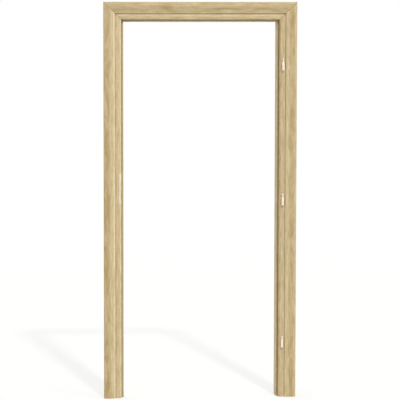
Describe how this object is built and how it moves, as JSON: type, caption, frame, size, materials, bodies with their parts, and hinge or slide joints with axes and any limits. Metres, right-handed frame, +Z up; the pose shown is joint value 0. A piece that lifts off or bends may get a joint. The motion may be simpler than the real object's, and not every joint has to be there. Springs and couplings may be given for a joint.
{
  "type": "door frame",
  "caption": "Rebated wooden interior door frame with mitred architraves, rebate seals, pin hinges on the right jamb and an angled strike plate on the left.",
  "frame": {"origin": "floor level, in the middle of the frame's bounding box across and front to back", "axes": "+Z up the jambs, +Y back through the wall away from the hinge side, +X to the right towards the hinge jamb"},
  "size_m": [1.008, 0.117, 2.074],
  "materials": {
    "oak_wrap": "light oak film wrapped on board, satin",
    "seal": "matte brown extruded seal",
    "nickel_steel": "bright nickel-plated steel",
    "zinc_steel": "zinc-plated steel",
    "nylon": "moulded nylon",
    "dowel_wood": "plain turned beech"
  },
  "bodies": {
    "root": {"head_architrave": "oak_wrap", "head_jamb": "oak_wrap", "head_rear_trim": "oak_wrap", "head_seal": "seal", "hinge_bottom_anchor": "zinc_steel", "hinge_bottom_barrel": "nickel_steel", "hinge_bottom_pin": "nickel_steel", "hinge_bottom_screws": "zinc_steel", "hinge_bottom_stud": "nickel_steel", "hinge_bottom_washer": "nylon", "hinge_jamb": "oak_wrap", "hinge_middle_anchor": "zinc_steel", "hinge_middle_barrel": "nickel_steel", "hinge_middle_pin": "nickel_steel", "hinge_middle_screws": "zinc_steel", "hinge_middle_stud": "nickel_steel", "hinge_middle_washer": "nylon", "hinge_top_anchor": "zinc_steel", "hinge_top_barrel": "nickel_steel", "hinge_top_pin": "nickel_steel", "hinge_top_screws": "zinc_steel", "hinge_top_stud": "nickel_steel", "hinge_top_washer": "nylon", "left_architrave": "oak_wrap", "left_architrave_key": "nylon", "left_corner_dowels": "dowel_wood", "left_corner_plate": "zinc_steel", "left_corner_screws": "zinc_steel", "left_rear_key": "nylon", "left_rear_trim": "oak_wrap", "left_seal": "seal", "right_architrave": "oak_wrap", "right_architrave_key": "nylon", "right_corner_dowels": "dowel_wood", "right_corner_plate": "zinc_steel", "right_corner_screws": "zinc_steel", "right_rear_key": "nylon", "right_rear_trim": "oak_wrap", "right_seal": "seal", "strike_jamb": "oak_wrap", "strike_plate": "nickel_steel", "strike_plate_screws": "zinc_steel"}
  },
  "joints": []
}
